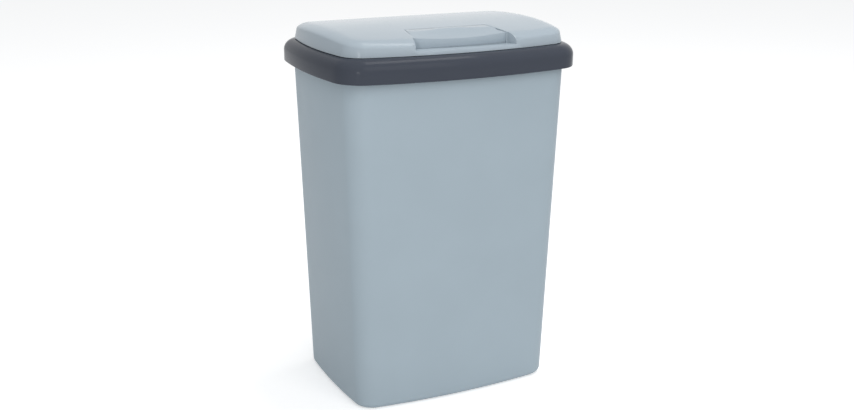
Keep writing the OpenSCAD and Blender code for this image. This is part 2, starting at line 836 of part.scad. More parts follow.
module latch_carrier() {
    slot_back = hook_front + nose_reach + hook_t + upright_r;
    color([0.24, 0.25, 0.27])
    difference() {
        union() {
            block([-upright_x, carrier_front, carrier_z], [upright_x, carrier_back, carrier_z + carrier_t]);
            for (s = [-1, 1]) {
                inner = min(s * upright_x, s * (upright_x - upright_t));
                rod(inner + upright_t / 2, upright_t, upright_r, pivot_y, pivot_z);
                block(
                    [inner, pivot_y - upright_r, carrier_z],
                    [inner + upright_t, pivot_y + upright_r, pivot_z]
                );
                block(
                    [inner, carrier_front, carrier_z],
                    [inner + upright_t, carrier_back, flange_z + carrier_t]
                );
                block(
                    [
                        min(s * (upright_x - over), s * (flange_x + screw_edge)),
                        boss_y[0] - screw_edge,
                        flange_z
                    ],
                    [
                        max(s * (upright_x - over), s * (flange_x + screw_edge)),
                        boss_y[1] + screw_edge,
                        flange_z + carrier_t
                    ]
                );
                translate([s * return_x, spring_seat_y, carrier_z])
                cylinder(d = return_d - 2, h = carrier_t + 2);
            }
        }
        rod(0, 2 * upright_x + 2, pad_pin_d / 2, pivot_y, pivot_z);
        block(
            [-hook_w / 2 - 1.5, carrier_front - over, carrier_z - over],
            [hook_w / 2 + 1.5, slot_back, carrier_z + carrier_t + over]
        );
        for (s = [-1, 1]) {
            for (y = boss_y) {
                translate([s * flange_x, y, flange_z - over])
                cylinder(d = screw_d + 2 * slip, h = carrier_t + 2 * over);
            }
        }
    }
}

module carrier_screws() {
    color([0.75, 0.76, 0.77])
    for (s = [-1, 1]) {
        for (y = boss_y) {
            translate([s * flange_x, y, flange_z - head_h])
            rotate([180, 0, 0])
            screw(head_h + carrier_t + post_bite);
        }
    }
}

// Return springs between the carrier and the pad
function return_line(s) =
    let (
        n = curl_n * return_turns,
        r = (return_d - return_wire) / 2,
        low = carrier_z + carrier_t + return_wire / 2 + slip,
        high = pad_floor - pad_wall - return_wire / 2 - 0.5
    )
    [
        for (i = [0:n])
            let (a = 360 * i / curl_n)
            [s * return_x + r * cos(a), spring_seat_y + r * sin(a), low + (high - low) * i / n]
    ];

module pad_spring(s) {
    points = return_line(s);
    echo(pad_spring_least_gap = least_gap(points, return_wire));
    color([0.7, 0.71, 0.73])
    wire(points, return_wire, [0, 0, 1]);
}

bin_body();
collar();
lid();
hinge_pin(-1);  // hinge_pin_left
hinge_pin(1);  // hinge_pin_right
lid_spring(-1);  // lid_spring_left
lid_spring(1);  // lid_spring_right
lid_buffer(-1);  // lid_buffer_left
lid_buffer(1);  // lid_buffer_right
latch_keeper();
keeper_screws();
push_pad();
pad_pin();
pad_spring(-1);  // pad_spring_left
pad_spring(1);  // pad_spring_right
latch_hook();
hook_screws();
latch_carrier();
carrier_screws();
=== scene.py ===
"""Looks of a push top countertop bin: its moulded shells, its metal and rubber fittings, and the stage."""

import math

import bmesh
import bpy
from bpy.props import FloatProperty, FloatVectorProperty, PointerProperty
from mathutils import Matrix, Vector


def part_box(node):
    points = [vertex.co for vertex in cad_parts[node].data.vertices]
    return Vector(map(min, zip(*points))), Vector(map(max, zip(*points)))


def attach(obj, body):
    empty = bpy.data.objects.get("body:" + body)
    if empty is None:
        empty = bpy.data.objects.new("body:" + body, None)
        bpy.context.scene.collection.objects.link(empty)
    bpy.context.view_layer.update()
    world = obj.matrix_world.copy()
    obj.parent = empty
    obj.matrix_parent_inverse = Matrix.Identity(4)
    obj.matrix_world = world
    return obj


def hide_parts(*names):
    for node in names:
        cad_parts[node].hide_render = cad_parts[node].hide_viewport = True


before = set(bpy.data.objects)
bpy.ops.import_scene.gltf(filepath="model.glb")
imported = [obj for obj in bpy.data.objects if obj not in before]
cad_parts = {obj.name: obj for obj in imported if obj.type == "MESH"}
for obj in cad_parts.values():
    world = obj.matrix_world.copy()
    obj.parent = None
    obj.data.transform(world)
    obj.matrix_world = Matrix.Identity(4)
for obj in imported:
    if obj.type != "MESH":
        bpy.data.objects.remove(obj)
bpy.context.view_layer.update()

bl_info = {
    "name": "Push Top Bin",
    "version": (1, 0, 0),
    "blender": (4, 5, 0),
    "location": "3D View > Sidebar > Bin",
    "description": "Models and finishes a push top countertop bin round its packed frame",
    "category": "Object",
}

# Lengths are in metres, and are written in millimetres
MM = 0.001
COLLAR_LOW, COLLAR_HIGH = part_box("collar")

# Points of a corner, of a side and of a rounding
ARC, SIDE, ROUND = 12, 20, 9

# Share of the lid's shoulder that falls in a curve, and how far in the rings of its top lie
CURVED = 0.68
INWARD = (0.06, 0.14, 0.24, 0.36, 0.5, 0.64, 0.78, 0.9)


def length(name, about, default, low=0.0, high=1.0):
    return FloatProperty(
        name=name, description=about, default=default, min=low, max=high, unit="LENGTH", precision=4
    )


def colour(name, about, default):
    return FloatVectorProperty(
        name=name, description=about, default=default, min=0.0, max=1.0, subtype="COLOR", size=3
    )


class BinSizes(bpy.types.PropertyGroup):
    """Sizes that the shells are modelled to. The frame gives the outside ones."""

    collar_w: length("Collar width", "Width over the collar", COLLAR_HIGH.x - COLLAR_LOW.x)
    collar_d: length("Collar depth", "Depth over the collar, at its middle", COLLAR_HIGH.y - COLLAR_LOW.y)
    collar_z: length("Collar edge", "Height of the collar's lower edge", COLLAR_LOW.z)
    collar_h: length("Collar height", "From the collar's lower edge to its flat top", 20.3 * MM)
    collar_r: length("Collar corners", "Corner radius of the collar's outline", 18.5 * MM)
    collar_round: length("Collar rounding", "Rounding of the collar's upper edge", 10 * MM)
    collar_wall: length("Collar wall", "Thickness of the collar's walls", 2.2 * MM)
    bow_y: length("Front bow", "How far the front and back edges bow outwards", 12.5 * MM)
    bow_x: length("End bow", "How far the end edges bow outwards", 7.3 * MM)
    rim_w: length("Rim width", "From the collar's outside to its mouth", 22 * MM)
    throat_h: length("Throat", "Depth of the skirt round the mouth", 16 * MM)
    base_w: length("Base width", "Width of the bin at the base", 198.6 * MM)
    base_d: length("Base depth", "Depth of the bin at the base", 143.3 * MM)
    base_r: length("Base corners", "Corner radius at the base", 13.8 * MM)
    base_bow_y: length("Base front bow", "How far the base's front and back bow outwards", 6.6 * MM)
    base_bow_x: length("Base end bow", "How far the base's ends bow outwards", 3.3 * MM)
    base_round: length("Base rounding", "Rounding where the sides meet the base", 6.2 * MM)
    bin_wall: length("Bin wall", "Thickness of the bin's wall", 2.4 * MM)
    lid_inset: length("Lid inset", "From the collar's outside to the lid's edge", 10.7 * MM)
    lid_h: length("Lid height", "From the collar's top to the lid's highest point", 17 * MM)
    lid_end: length("Lid ends", "How much nearer the lid comes to the collar at its ends", 2.6 * MM)
    lid_arch: length("Lid arch", "Drop of the lid's arch to its front and back", 5.8 * MM)
    crease_r: length("Crease corners", "Corner radius of the crease round the lid's top", 7 * MM)
    lid_wall: length("Lid wall", "Thickness of the lid", 2.2 * MM)
    edge: length("Moulded edge", "Radius on the moulded edges", 0.45 * MM)


class BinColours(bpy.types.PropertyGroup):
    """Colours of the mouldings."""

    bin_plastic: colour("Bin", "Grey-blue of the body", (0.376, 0.451, 0.503))
    collar_plastic: colour("Collar", "Dark grey of the collar", (0.060, 0.068, 0.087))
    lid_plastic: colour("Lid", "Pale blue-grey of the lid and pad", (0.405, 0.470, 0.523))
    latch_plastic: colour("Catch", "Dark grey of the carrier and keeper", (0.05, 0.055, 0.065))


# Outlines, in metres


def sign(v):
    return (v > 0) - (v < 0)


def bowed(w, d, r, by, bx):
    """Points round a rounded rectangle whose four sides bow outwards."""
    a, b = w / 2 - bx, d / 2 - by
    corners = [(a - r, b - r), (r - a, b - r), (r - a, r - b), (a - r, r - b)]
    points = []
    for k, (cx, cy) in enumerate(corners):
        for i in range(ARC + 1):
            t = math.radians(90 * (k + i / ARC))
            points.append((cx + r * math.cos(t), cy + r * math.sin(t)))
        t = math.radians(90 * (k + 1))
        nx, ny = corners[(k + 1) % 4]
        start = Vector((cx + r * math.cos(t), cy + r * math.sin(t)))
        end = Vector((nx + r * math.cos(t), ny + r * math.sin(t)))
        points += [tuple(start.lerp(end, j / SIDE)) for j in range(1, SIDE)]
    return [
        (x + sign(x) * bx * (1 - (y / b) ** 2), y + sign(y) * by * (1 - (x / a) ** 2))
        for x, y in points
    ]


def lift(line, z):
    return [(x, y, z) for x, y in line]


class Form:
    """The bin's curves and heights, worked out from its sizes."""

    def __init__(self, sizes):
        self.s = s = sizes
        self.top = s.collar_z + s.collar_h
        self.rim = self.top - s.collar_wall - 0.3 * MM
        self.lid_low = self.top + 0.4 * MM
        self.lid_top = self.top + s.lid_h
        self.lid_half = s.collar_d / 2 - s.lid_inset
        # The lid's shoulder: its wall leans in, and it runs in plan and falls from the crease to the wall
        self.lean, self.drop = 1.5 * MM, 5 * MM
        self.shoulder_x, self.shoulder_y = 11.8 * MM, 11.4 * MM
        self.crease_bow_y, self.crease_bow_x = 6 * MM, 3 * MM
        # The finger notch
        self.ledge = self.top + 3.8 * MM
        self.face = -self.lid_half + 13.2 * MM
        self.notch_x, self.notch_flare, self.notch_r = 46 * MM, 6 * MM, 1.5 * MM
        self.bow_r = 360 * MM
        # The push pad: its length, taper and side, and the middle of its lip
        self.pad_back = -self.face - 32.1 * MM
        self.pad_x = self.notch_x - self.notch_r
        self.pad_end_x = self.pad_x - 5.5 * MM
        self.pad_side = 1.6 * MM
        self.pad_wall = 2.2 * MM
        self.pad_floor = self.top + 10.9 * MM
        # The dish: the upper edge and the foot of its back wall, how far both bow, and the floor's sag
        self.dish_y = self.face + 25 * MM
        self.foot_y = self.dish_y - 5 * MM
        self.foot_z = self.pad_floor + 1.3 * MM
        self.edge_bow, self.foot_bow = 6.7 * MM, 10.5 * MM
        self.sag = 1.9 * MM
        # Places of the hinges, of the pad's pivot and of the carrier's screws
        self.hinge = (s.collar_d / 2 - 8 * MM, self.top + 3.2 * MM)
        self.lug_x, self.knuckle_x = (42.15 * MM, 57.85 * MM), 52.15 * MM
        self.pivot = (-self.pad_back - 4.5 * MM, self.top + 4.6 * MM)
        self.screw_x, self.screw_dy = 58 * MM, (-10 * MM, MM)

    def collar(self, inset, z):
        s = self.s
        w, d = s.collar_w - 2 * inset, s.collar_d - 2 * inset
        return lift(bowed(w, d, s.collar_r - inset / 2, s.bow_y, s.bow_x), z)

    def base(self, inset, z):
        s = self.s
        w, d = s.base_w - 2 * inset, s.base_d - 2 * inset
        return lift(bowed(w, d, s.base_r - inset / 2, s.base_bow_y, s.base_bow_x), z)

    def side(self, inset, z):
        """The bin's tapered side, which runs straight from the base's outline to the rim's."""
        t = (z - self.s.base_round) / (self.rim - self.s.base_round)
        pairs = zip(self.base(inset, z), self.collar(7.3 * MM + inset, z))
        return [tuple(Vector(low).lerp(Vector(high), t)) for low, high in pairs]

    def edge_y(self, inset, x):
        s = self.s
        a, b = s.collar_w / 2 - inset - s.bow_x, s.collar_d / 2 - inset - s.bow_y
        return b + s.bow_y * (1 - (x / a) ** 2)

    def arch(self, y):
        return self.lid_top - self.s.lid_arch * (y / self.lid_half) ** 2

    def lid(self, inset, t):
        """The lid in plan: t runs over the shoulder, from the wall to the crease."""
        s = self.s
        r = s.collar_r - s.lid_inset / 2
        return bowed(
            s.collar_w - 2 * (s.lid_inset - s.lid_end + inset + self.shoulder_x * t),
            s.collar_d - 2 * (s.lid_inset + inset + self.shoulder_y * t),
            r + (s.crease_r - r) * t - inset / 2,
            s.bow_y + (self.crease_bow_y - s.bow_y) * t,
            s.bow_x + (self.crease_bow_x - s.bow_x) * t,
        )

    def dish(self, z):
        """The air before the dish's back wall, cut at a height. The wall slopes between two bows."""
        share = (z - self.foot_z) / (self.arch(self.dish_y) - self.foot_z)
        line = [(self.notch_x, -self.s.collar_d / 2, z)]
        for i in range(25):
            x = self.notch_x * (1 - i / 12)
            out = (x / self.pad_x) ** 2
            foot, edge = self.foot_y - self.foot_bow * out, self.dish_y - self.edge_bow * out
            line.append((x, foot + (edge - foot) * share, z))
        return line + [(-self.notch_x, -self.s.collar_d / 2, z)]

    def dome(self, inset, down, low):
        """Rings of the lid's outside, from its edge over the shoulder to near the middle."""
        rings = [lift(self.lid(inset, 0), low)]
        for i in range(ROUND + 1):
            t = 1 - math.cos(math.radians(90 * i / ROUND))
            u = 1 - t
            fall = self.drop * (CURVED * (1 - math.sqrt(max(0.0, 1 - u * u))) + (1 - CURVED) * u)
            line = self.lid(inset + self.lean, t)
            rings.append([(x, y, self.arch(y) - fall - down) for x, y in line])
        inner = self.lid(inset + self.lean, 1)
        for v in INWARD:
            line = [(x * (1 - v), y * (1 - v)) for x, y in inner]
            rings.append([(x, y, self.arch(y) - down) for x, y in line])
        return rings

    def bow_back(self, x):
        return self.bow_r - math.sqrt(self.bow_r ** 2 - x ** 2)

    def notch(self, grow):
        """The finger notch in plan, open to the front."""
        half, end, r = self.notch_x + grow, self.face + grow, self.notch_r + grow
        mouth, front = half + self.notch_flare, -self.s.collar_d / 2
        inner = half - r
        mid = end + self.bow_back(inner) - r
        turn = [math.radians(10 * i) for i in range(10)]
        columns = [inner * (1 - i / 8) for i in range(1, 16)]
        line = [(mouth, front)]
        line += [(inner + r * math.cos(a), mid + r * math.sin(a)) for a in turn]
        line += [(x, end + self.bow_back(x)) for x in columns]
        line += [(-inner - r * math.cos(a), mid + r * math.sin(a)) for a in reversed(turn)]
        return line + [(-mouth, front)]

    def pad(self, grow):
        """The push pad in plan."""
        half = self.pad_x + grow
        end = self.pad_end_x + grow
        line = [(-end, -self.pad_back + grow), (end, -self.pad_back + grow)]
        for i in range(17):
            x = half * (1 - i / 8)
            line.append((x, self.face + self.bow_back(x) - grow))
        return line


# Modelling, one step at a time as by hand


def alone(piece=None):
    """Leaves edit mode, lets everything go, and picks one piece if it is given."""
    if bpy.context.mode != "OBJECT":
        bpy.ops.object.mode_set(mode="OBJECT")
    bpy.ops.object.select_all(action="DESELECT")
    if piece:
        piece.select_set(True)
        bpy.context.view_layer.objects.active = piece
    return piece


def key(point):
    return tuple(round(c, 7) for c in point)


def lay(piece, ring, before=None):
    """Puts the picked points on a ring. After an extrude they still lie on the ring before."""
    mesh = bmesh.from_edit_mesh(piece.data)
    if before is None:
        picked = sorted((v for v in mesh.verts if v.select), key=lambda v: v.index)
        pairs = zip(picked, ring)
    else:
        place = {key(p): i for i, p in enumerate(before)}
        pairs = [(v, ring[place[key(v.co)]]) for v in mesh.verts if v.select]
    for v, p in pairs:
        v.co = p
    bmesh.update_edit_mesh(piece.data)


def pick_points(piece, test):
    bpy.ops.mesh.select_all(action="DESELECT")
    mesh = bmesh.from_edit_mesh(piece.data)
    for v in mesh.verts:
        v.select = bool(test(v))
    mesh.select_flush(True)
    bmesh.update_edit_mesh(piece.data)


def close_up(piece, cap, ring):
    """Closes the picked ring flat, or to a point over or under it."""
    if cap == "flat":
        bpy.ops.mesh.edge_face_add()
        return
    bpy.ops.mesh.extrude_region_move(TRANSFORM_OT_translate={"value": (0, 0, 0)})
    lay(piece, [cap] * len(ring), ring)
    bpy.ops.mesh.remove_doubles(threshold=1e-7)


def loft(name, rings, start=None, end=None, wrap=False):
    """A circle laid on the first ring and extruded from ring to ring."""
    alone()
    n = len(rings[0])
    bpy.ops.mesh.primitive_circle_add(vertices=n, radius=0.05, fill_type="NOTHING")
    piece = bpy.context.active_object
    piece.name = name
    bpy.ops.object.mode_set(mode="EDIT")
    bpy.ops.mesh.select_mode(type="VERT")
    lay(piece, rings[0])
    for before, ring in zip(rings, rings[1:]):
        bpy.ops.mesh.extrude_region_move(TRANSFORM_OT_translate={"value": (0, 0, 0)})
        lay(piece, ring, [tuple(Vector(p)) for p in before])
    if end is not None:
        close_up(piece, end, [tuple(Vector(p)) for p in rings[-1]])
    if start is not None:
        first = {key(Vector(p)) for p in rings[0]}
        pick_points(piece, lambda v: key(v.co) in first)
        close_up(piece, start, [tuple(Vector(p)) for p in rings[0]])
    if wrap:
        ends = {key(Vector(p)) for p in rings[0] + rings[-1]}
        pick_points(piece, lambda v: key(v.co) in ends)
        bpy.ops.mesh.bridge_edge_loops()
    bpy.ops.mesh.select_all(action="SELECT")
    bpy.ops.mesh.normals_make_consistent(inside=False)
    return alone(piece)


def prism(name, line, low, high):
    return loft(name, [lift(line, low), lift(line, high)], start="flat", end="flat")


def block(name, low, high):
    """A cube stretched between two corners."""
    low, high = Vector(low), Vector(high)
    alone()
    bpy.ops.mesh.primitive_cube_add(size=1, location=(low + high) / 2, scale=high - low)
    return set_down(name)


def rod(name, x, w, r, y, z, sides=48):
    """A round rod along X."""
    alone()
    bpy.ops.mesh.primitive_cylinder_add(
        vertices=sides, radius=r, depth=w, location=(x, y, z), rotation=(0, math.pi / 2, 0)
    )
    return set_down(name)


def post(name, x, y, low, high, r, sides=40):
    """A round post along Z."""
    alone()
    bpy.ops.mesh.primitive_cylinder_add(
        vertices=sides, radius=r, depth=high - low, location=(x, y, (low + high) / 2)
    )
    return set_down(name)


def set_down(name):
    piece = bpy.context.active_object
    piece.name = name
    bpy.ops.object.transform_apply(location=True, rotation=True, scale=True)
    return piece


def combine(piece, tool, how):
    """Joins, cuts or leaves what is common, and takes the tool away."""
    alone(piece)
    bpy.ops.object.modifier_add(type="BOOLEAN")
    change = piece.modifiers[-1]
    change.operation, change.solver, change.object = how, "EXACT", tool
    bpy.ops.object.modifier_apply(modifier=change.name)
    bpy.data.objects.remove(tool)
    if not piece.data.polygons:
        raise RuntimeError(f"{piece.name} is empty after a step")
    return piece


def twin(piece, name):
    alone(piece)
    bpy.ops.object.duplicate(linked=False)
    copy = bpy.context.active_object
    copy.name = name
    return copy


def soften(piece, width, angle=38, segments=2):
    """Rounds the sharp edges a little, and shades the rest smooth."""
    alone(piece)
    bpy.ops.object.mode_set(mode="EDIT")
    bpy.ops.mesh.select_all(action="SELECT")
    bpy.ops.mesh.remove_doubles(threshold=2e-6)
    bpy.ops.mesh.dissolve_degenerate(threshold=1e-6)
    bpy.ops.object.mode_set(mode="OBJECT")
    bpy.ops.object.modifier_add(type="BEVEL")
    bevel = piece.modifiers[-1]
    bevel.width, bevel.segments = width, segments
    bevel.limit_method, bevel.angle_limit = "ANGLE", math.radians(angle)
    bevel.use_clamp_overlap = True
    bpy.ops.object.modifier_apply(modifier=bevel.name)
    bpy.ops.object.shade_smooth_by_angle(angle=math.radians(34))
    return piece


# Shader maths


class Value:
    """A socket that takes part in arithmetic."""

    def __init__(self, graph, socket):
        self.graph, self.socket = graph, socket

    def _maths(self, kind, first, second):
        return self.graph.node("ShaderNodeMath", {"operation": kind}, {0: first, 1: second})

    def __add__(self, other):
        return self._maths("ADD", self, other)

    def __sub__(self, other):
        return self._maths("SUBTRACT", self, other)

    def __mul__(self, other):
        return self._maths("MULTIPLY", self, other)

    def __rsub__(self, other):
        return self._maths("SUBTRACT", other, self)

    __radd__, __rmul__ = __add__, __mul__

    def between(self, low, high):
        """0 under low, 1 over high, and smooth in between."""
        settings = {"interpolation_type": "SMOOTHSTEP"}
        sockets = {"Value": self, "From Min": low, "From Max": high}
        return self.graph.node("ShaderNodeMapRange", settings, sockets)


class Graph:
    """The nodes of one material, or of the world."""

    def __init__(self, owner):
        owner.use_nodes = True
        self.owner, self.tree = owner, owner.node_tree
        self.tree.nodes.clear()

    def node(self, kind, settings=None, sockets=None, out=0):
        made = self.tree.nodes.new(kind)
        for name, value in (settings or {}).items():
            setattr(made, name, value)
        for name, value in (sockets or {}).items():
            if isinstance(value, Value):
                self.tree.links.new(value.socket, made.inputs[name])
            else:
                made.inputs[name].default_value = value
        return Value(self, made.outputs[out])

    def place(self):
        return self.node("ShaderNodeTexCoord", out="Object")

    def seen(self):
        """1 on the rays that show a thing to the eye: straight, in a reflection or through glass."""
        kinds = ("Is Camera Ray", "Is Glossy Ray", "Is Transmission Ray")
        eye, mirror, glass = (self.node("ShaderNodeLightPath", out=kind) for kind in kinds)
        settings = {"operation": "ADD", "use_clamp": True}
        return self.node("ShaderNodeMath", settings, {0: eye + mirror, 1: glass})

    def noise(self, scale, detail=2.0, rough=0.5, where=None):
        sockets = {"Vector": where or self.place(), "Scale": scale}
        sockets.update({"Detail": detail, "Roughness": rough})
        return self.node("ShaderNodeTexNoise", {}, sockets)

    def stretch(self, by):
        return self.node("ShaderNodeMapping", {}, {"Vector": self.place(), "Scale": by})

    def blend(self, share, first, second):
        settings = {"data_type": "RGBA"}
        return self.node("ShaderNodeMix", settings, {"Factor": share, 6: first, 7: second}, out=2)

    def bump(self, height, strength, distance, under=None):
        sockets = {"Height": height, "Strength": strength, "Distance": distance}
        if under:
            sockets["Normal"] = under
        return self.node("ShaderNodeBump", {}, sockets)

    def finish(self, shader, end="ShaderNodeOutputMaterial"):
        self.tree.links.new(shader.socket, self.tree.nodes.new(end).inputs["Surface"])
        return self.owner


def shade(rgb, by):
    return tuple(min(1.0, c * by) for c in rgb) + (1.0,)


def moulded(name, rgb, roughness, wave=0.00010, grain=0.000012, sheen=0.5):
    """Moulded plastic: a faint cloudiness, a slow waviness from cooling, and a fine skin."""
    g = Graph(bpy.data.materials.new(name))
    cloud = g.noise(14, 3, 0.55)
    drift = g.noise(3.5, 1, 0.5)
    pale = (cloud * 0.5 + drift * 0.5).between(0.3, 0.7)
    tone = g.blend(pale, shade(rgb, 0.975), shade(rgb, 1.025))
    fine = g.noise(1500, 2, 0.6)
    slow = g.noise(26, 1, 0.4)
    rub = g.noise(60, 4, 0.6)
    skin = g.bump(fine, 0.35, grain, g.bump(slow, 0.5, wave))
    gloss = (rub - 0.5) * 0.10 + roughness
    sockets = {
        "Base Color": tone,
        "Roughness": gloss,
        "Normal": skin,
        "IOR": 1.49,
        "Specular IOR Level": sheen,
    }
    return g.finish(g.node("ShaderNodeBsdfPrincipled", {}, sockets))


def drawn_steel(name, rgb, roughness, along):
    """Drawn or turned steel, with fine lines one way."""
    g = Graph(bpy.data.materials.new(name))
    lines = g.noise(420, 3, 0.6, g.stretch(along))
    dull = g.noise(90, 3, 0.6)
    tone = g.blend(dull.between(0.35, 0.7), shade(rgb, 0.86), shade(rgb, 1.08))
    sockets = {
        "Base Color": tone,
        "Metallic": 1.0,
        "Roughness": (lines - 0.5) * 0.22 + roughness,
        "Normal": g.bump(lines, 0.3, 0.00002),
    }
    return g.finish(g.node("ShaderNodeBsdfPrincipled", {}, sockets))


def rubber(name, rgb):
    """Soft black rubber with a dusty bloom."""
    g = Graph(bpy.data.materials.new(name))
    bloom = g.noise(180, 4, 0.65)
    sockets = {
        "Base Color": g.blend(bloom.between(0.45, 0.75), shade(rgb, 0.9), shade(rgb, 1.7)),
        "Roughness": bloom * 0.15 + 0.72,
        "Normal": g.bump(bloom, 0.4, 0.00004),
    }
    return g.finish(g.node("ShaderNodeBsdfPrincipled", {}, sockets))


def dress(piece, material):
    """Gives a piece one material."""
    piece.data.materials.clear()
    piece.data.materials.append(material)


def settle(piece, material, body, node):
    """Finishes a new piece: its material, its body and the node that it stands for."""
    dress(piece, material)
    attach(piece, body)
    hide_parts(node)


def material(name):
    """The finish of a slot, made the first time that it is asked for."""
    label = name + "_finish"
    found = bpy.data.materials.get(label)
    if found:
        return found
    c = bpy.context.scene.bin_colours
    makers = {
        "bin_plastic": lambda: moulded(label, c.bin_plastic, 0.42, 0.00008, 0.000010, 0.10),
        "collar_plastic": lambda: moulded(label, c.collar_plastic, 0.14, 0.00002, 0.0000015, 0.05),
        "lid_plastic": lambda: moulded(label, c.lid_plastic, 0.15, 0.00002, 0.000001, 0.10),
        "latch_plastic": lambda: moulded(label, c.latch_plastic, 0.55, 0.00006, 0.000030),
        "hook_plastic": lambda: moulded(label, (0.72, 0.72, 0.69), 0.48, 0.00006, 0.000020),
        "pin_steel": lambda: drawn_steel(label, (0.60, 0.61, 0.62), 0.28, (0.05, 1, 1)),
        "spring_steel": lambda: drawn_steel(label, (0.42, 0.43, 0.45), 0.36, (0.3, 1, 0.3)),
        "screw_steel": lambda: drawn_steel(label, (0.58, 0.59, 0.60), 0.32, (1, 1, 0.1)),
        "buffer_rubber": lambda: rubber(label, (0.03, 0.03, 0.032)),
    }
    return makers[name]()


# Pieces, one operator each


class BIN_OT_body(bpy.types.Operator):
    """Model the tapered bin body"""

    bl_idname = "bin.body"
    bl_label = "Bin body"

    def execute(self, context):
        f = Form(context.scene.bin_sizes)
        r, wall = f.s.base_round, f.s.bin_wall
        foot, floor = 2.5 * MM, 3 * MM
        turns = [math.radians(90 * i / ROUND) for i in range(ROUND + 1)]
        foot_in = r + 6 * MM
        rings = [f.base(foot_in, foot), f.base(foot_in, 0)]
        rings += [f.base(r * (1 - math.sin(t)), r * (1 - math.cos(t))) for t in turns]
        rings += [f.side(0, r + (f.rim - wall / 2 - r) * i / 8) for i in range(1, 9)]
        rings += [f.side(wall / 6, f.rim - wall / 6), f.side(wall / 2, f.rim), f.side(wall * 0.8, f.rim)]
        rings += [f.side(wall, f.rim - wall / 2 - (f.rim - wall - r) * i / 8) for i in range(8)]
        for t in reversed(turns):
            rings.append(f.base(wall + r * (1 - math.sin(t)), foot + floor + r * (1 - math.cos(t))))
        piece = loft("bin_shell", rings, start=(0, 0, foot), end=(0, 0, foot + floor))
        alone(piece)
        bpy.ops.object.shade_smooth_by_angle(angle=math.radians(40))
        settle(piece, material("bin_plastic"), "bin", "bin_body")
        return {"FINISHED"}


class BIN_OT_collar(bpy.types.Operator):
    """Model the collar, its hinge lugs and the seat of the keeper"""

    bl_idname = "bin.collar"
    bl_label = "Collar"

    def execute(self, context):
        f = Form(context.scene.bin_sizes)
        s = f.s
        r, wall, low = s.collar_round, s.collar_wall, f.top - s.collar_round
        turns = [math.radians(90 * i / ROUND) for i in range(ROUND + 1)]
        small = 0.6 * MM
        rings = [
            f.collar(small, s.collar_z),
            f.collar(0.2 * small, s.collar_z + 0.2 * small),
            f.collar(0, s.collar_z + small),
        ]
        rings += [f.collar(r * (1 - math.cos(t)), low + r * math.sin(t)) for t in turns]
        lip = 0.8 * MM
        for t in (0, 30, 60, 90):
            a = math.radians(t)
            rings.append(f.collar(s.rim_w - lip + lip * math.sin(a), f.top - lip + lip * math.cos(a)))
        rings += [
            f.collar(s.rim_w, f.top - s.throat_h),
            f.collar(s.rim_w - wall, f.top - s.throat_h),
            f.collar(s.rim_w - wall, f.top - wall),
        ]
        q = r - wall
        rings += [f.collar(r - q * math.cos(t), low + q * math.sin(t)) for t in reversed(turns)]
        rings.append(f.collar(wall, s.collar_z))
        piece = loft("collar_shell", rings, wrap=True)

        y, z = f.hinge
        half, reach = 2 * MM, 3.6 * MM
        for side in (-1, 1):
            for x in f.lug_x:
                lug = rod("lug", side * x, 2 * half, reach, y, z)
                foot = block(
                    "foot",
                    (side * x - half, y - reach, f.top - wall + 0.2 * MM),
                    (side * x + half, y + reach, z),
                )
                combine(lug, foot, "UNION")
                back = block(
                    "back",
                    (side * x - half, y + 0.4 * MM, f.top - 0.8 * r),
                    (side * x + half, y + reach, z),
                )
                combine(lug, back, "UNION")
                combine(piece, lug, "UNION")
        seat_x = 14 * MM
        seat_y = 0.5 * MM - f.edge_y(s.rim_w, seat_x)
        seat = block(
            "seat",
            (-seat_x, seat_y - wall - 0.6 * MM, f.top - s.throat_h),
            (seat_x, seat_y, f.top - wall / 2),
        )
        combine(piece, seat, "UNION")
        for side in (-1, 1):
            middle = side * sum(f.lug_x) / 2
            combine(piece, rod("bore", middle, 22 * MM, 1.5 * MM, y, z), "DIFFERENCE")
            combine(piece, rod("room", middle, 11.68 * MM, 3.9 * MM, y, z), "DIFFERENCE")
        soften(piece, s.edge * 0.8)
        settle(piece, material("collar_plastic"), "rim", "collar")
        return {"FINISHED"}


def notch_space(f, name, grow, low):
    """The notch's air, from a height up through the lid's top."""
    return prism(name, f.notch(grow), low, f.lid_top + 2 * MM)


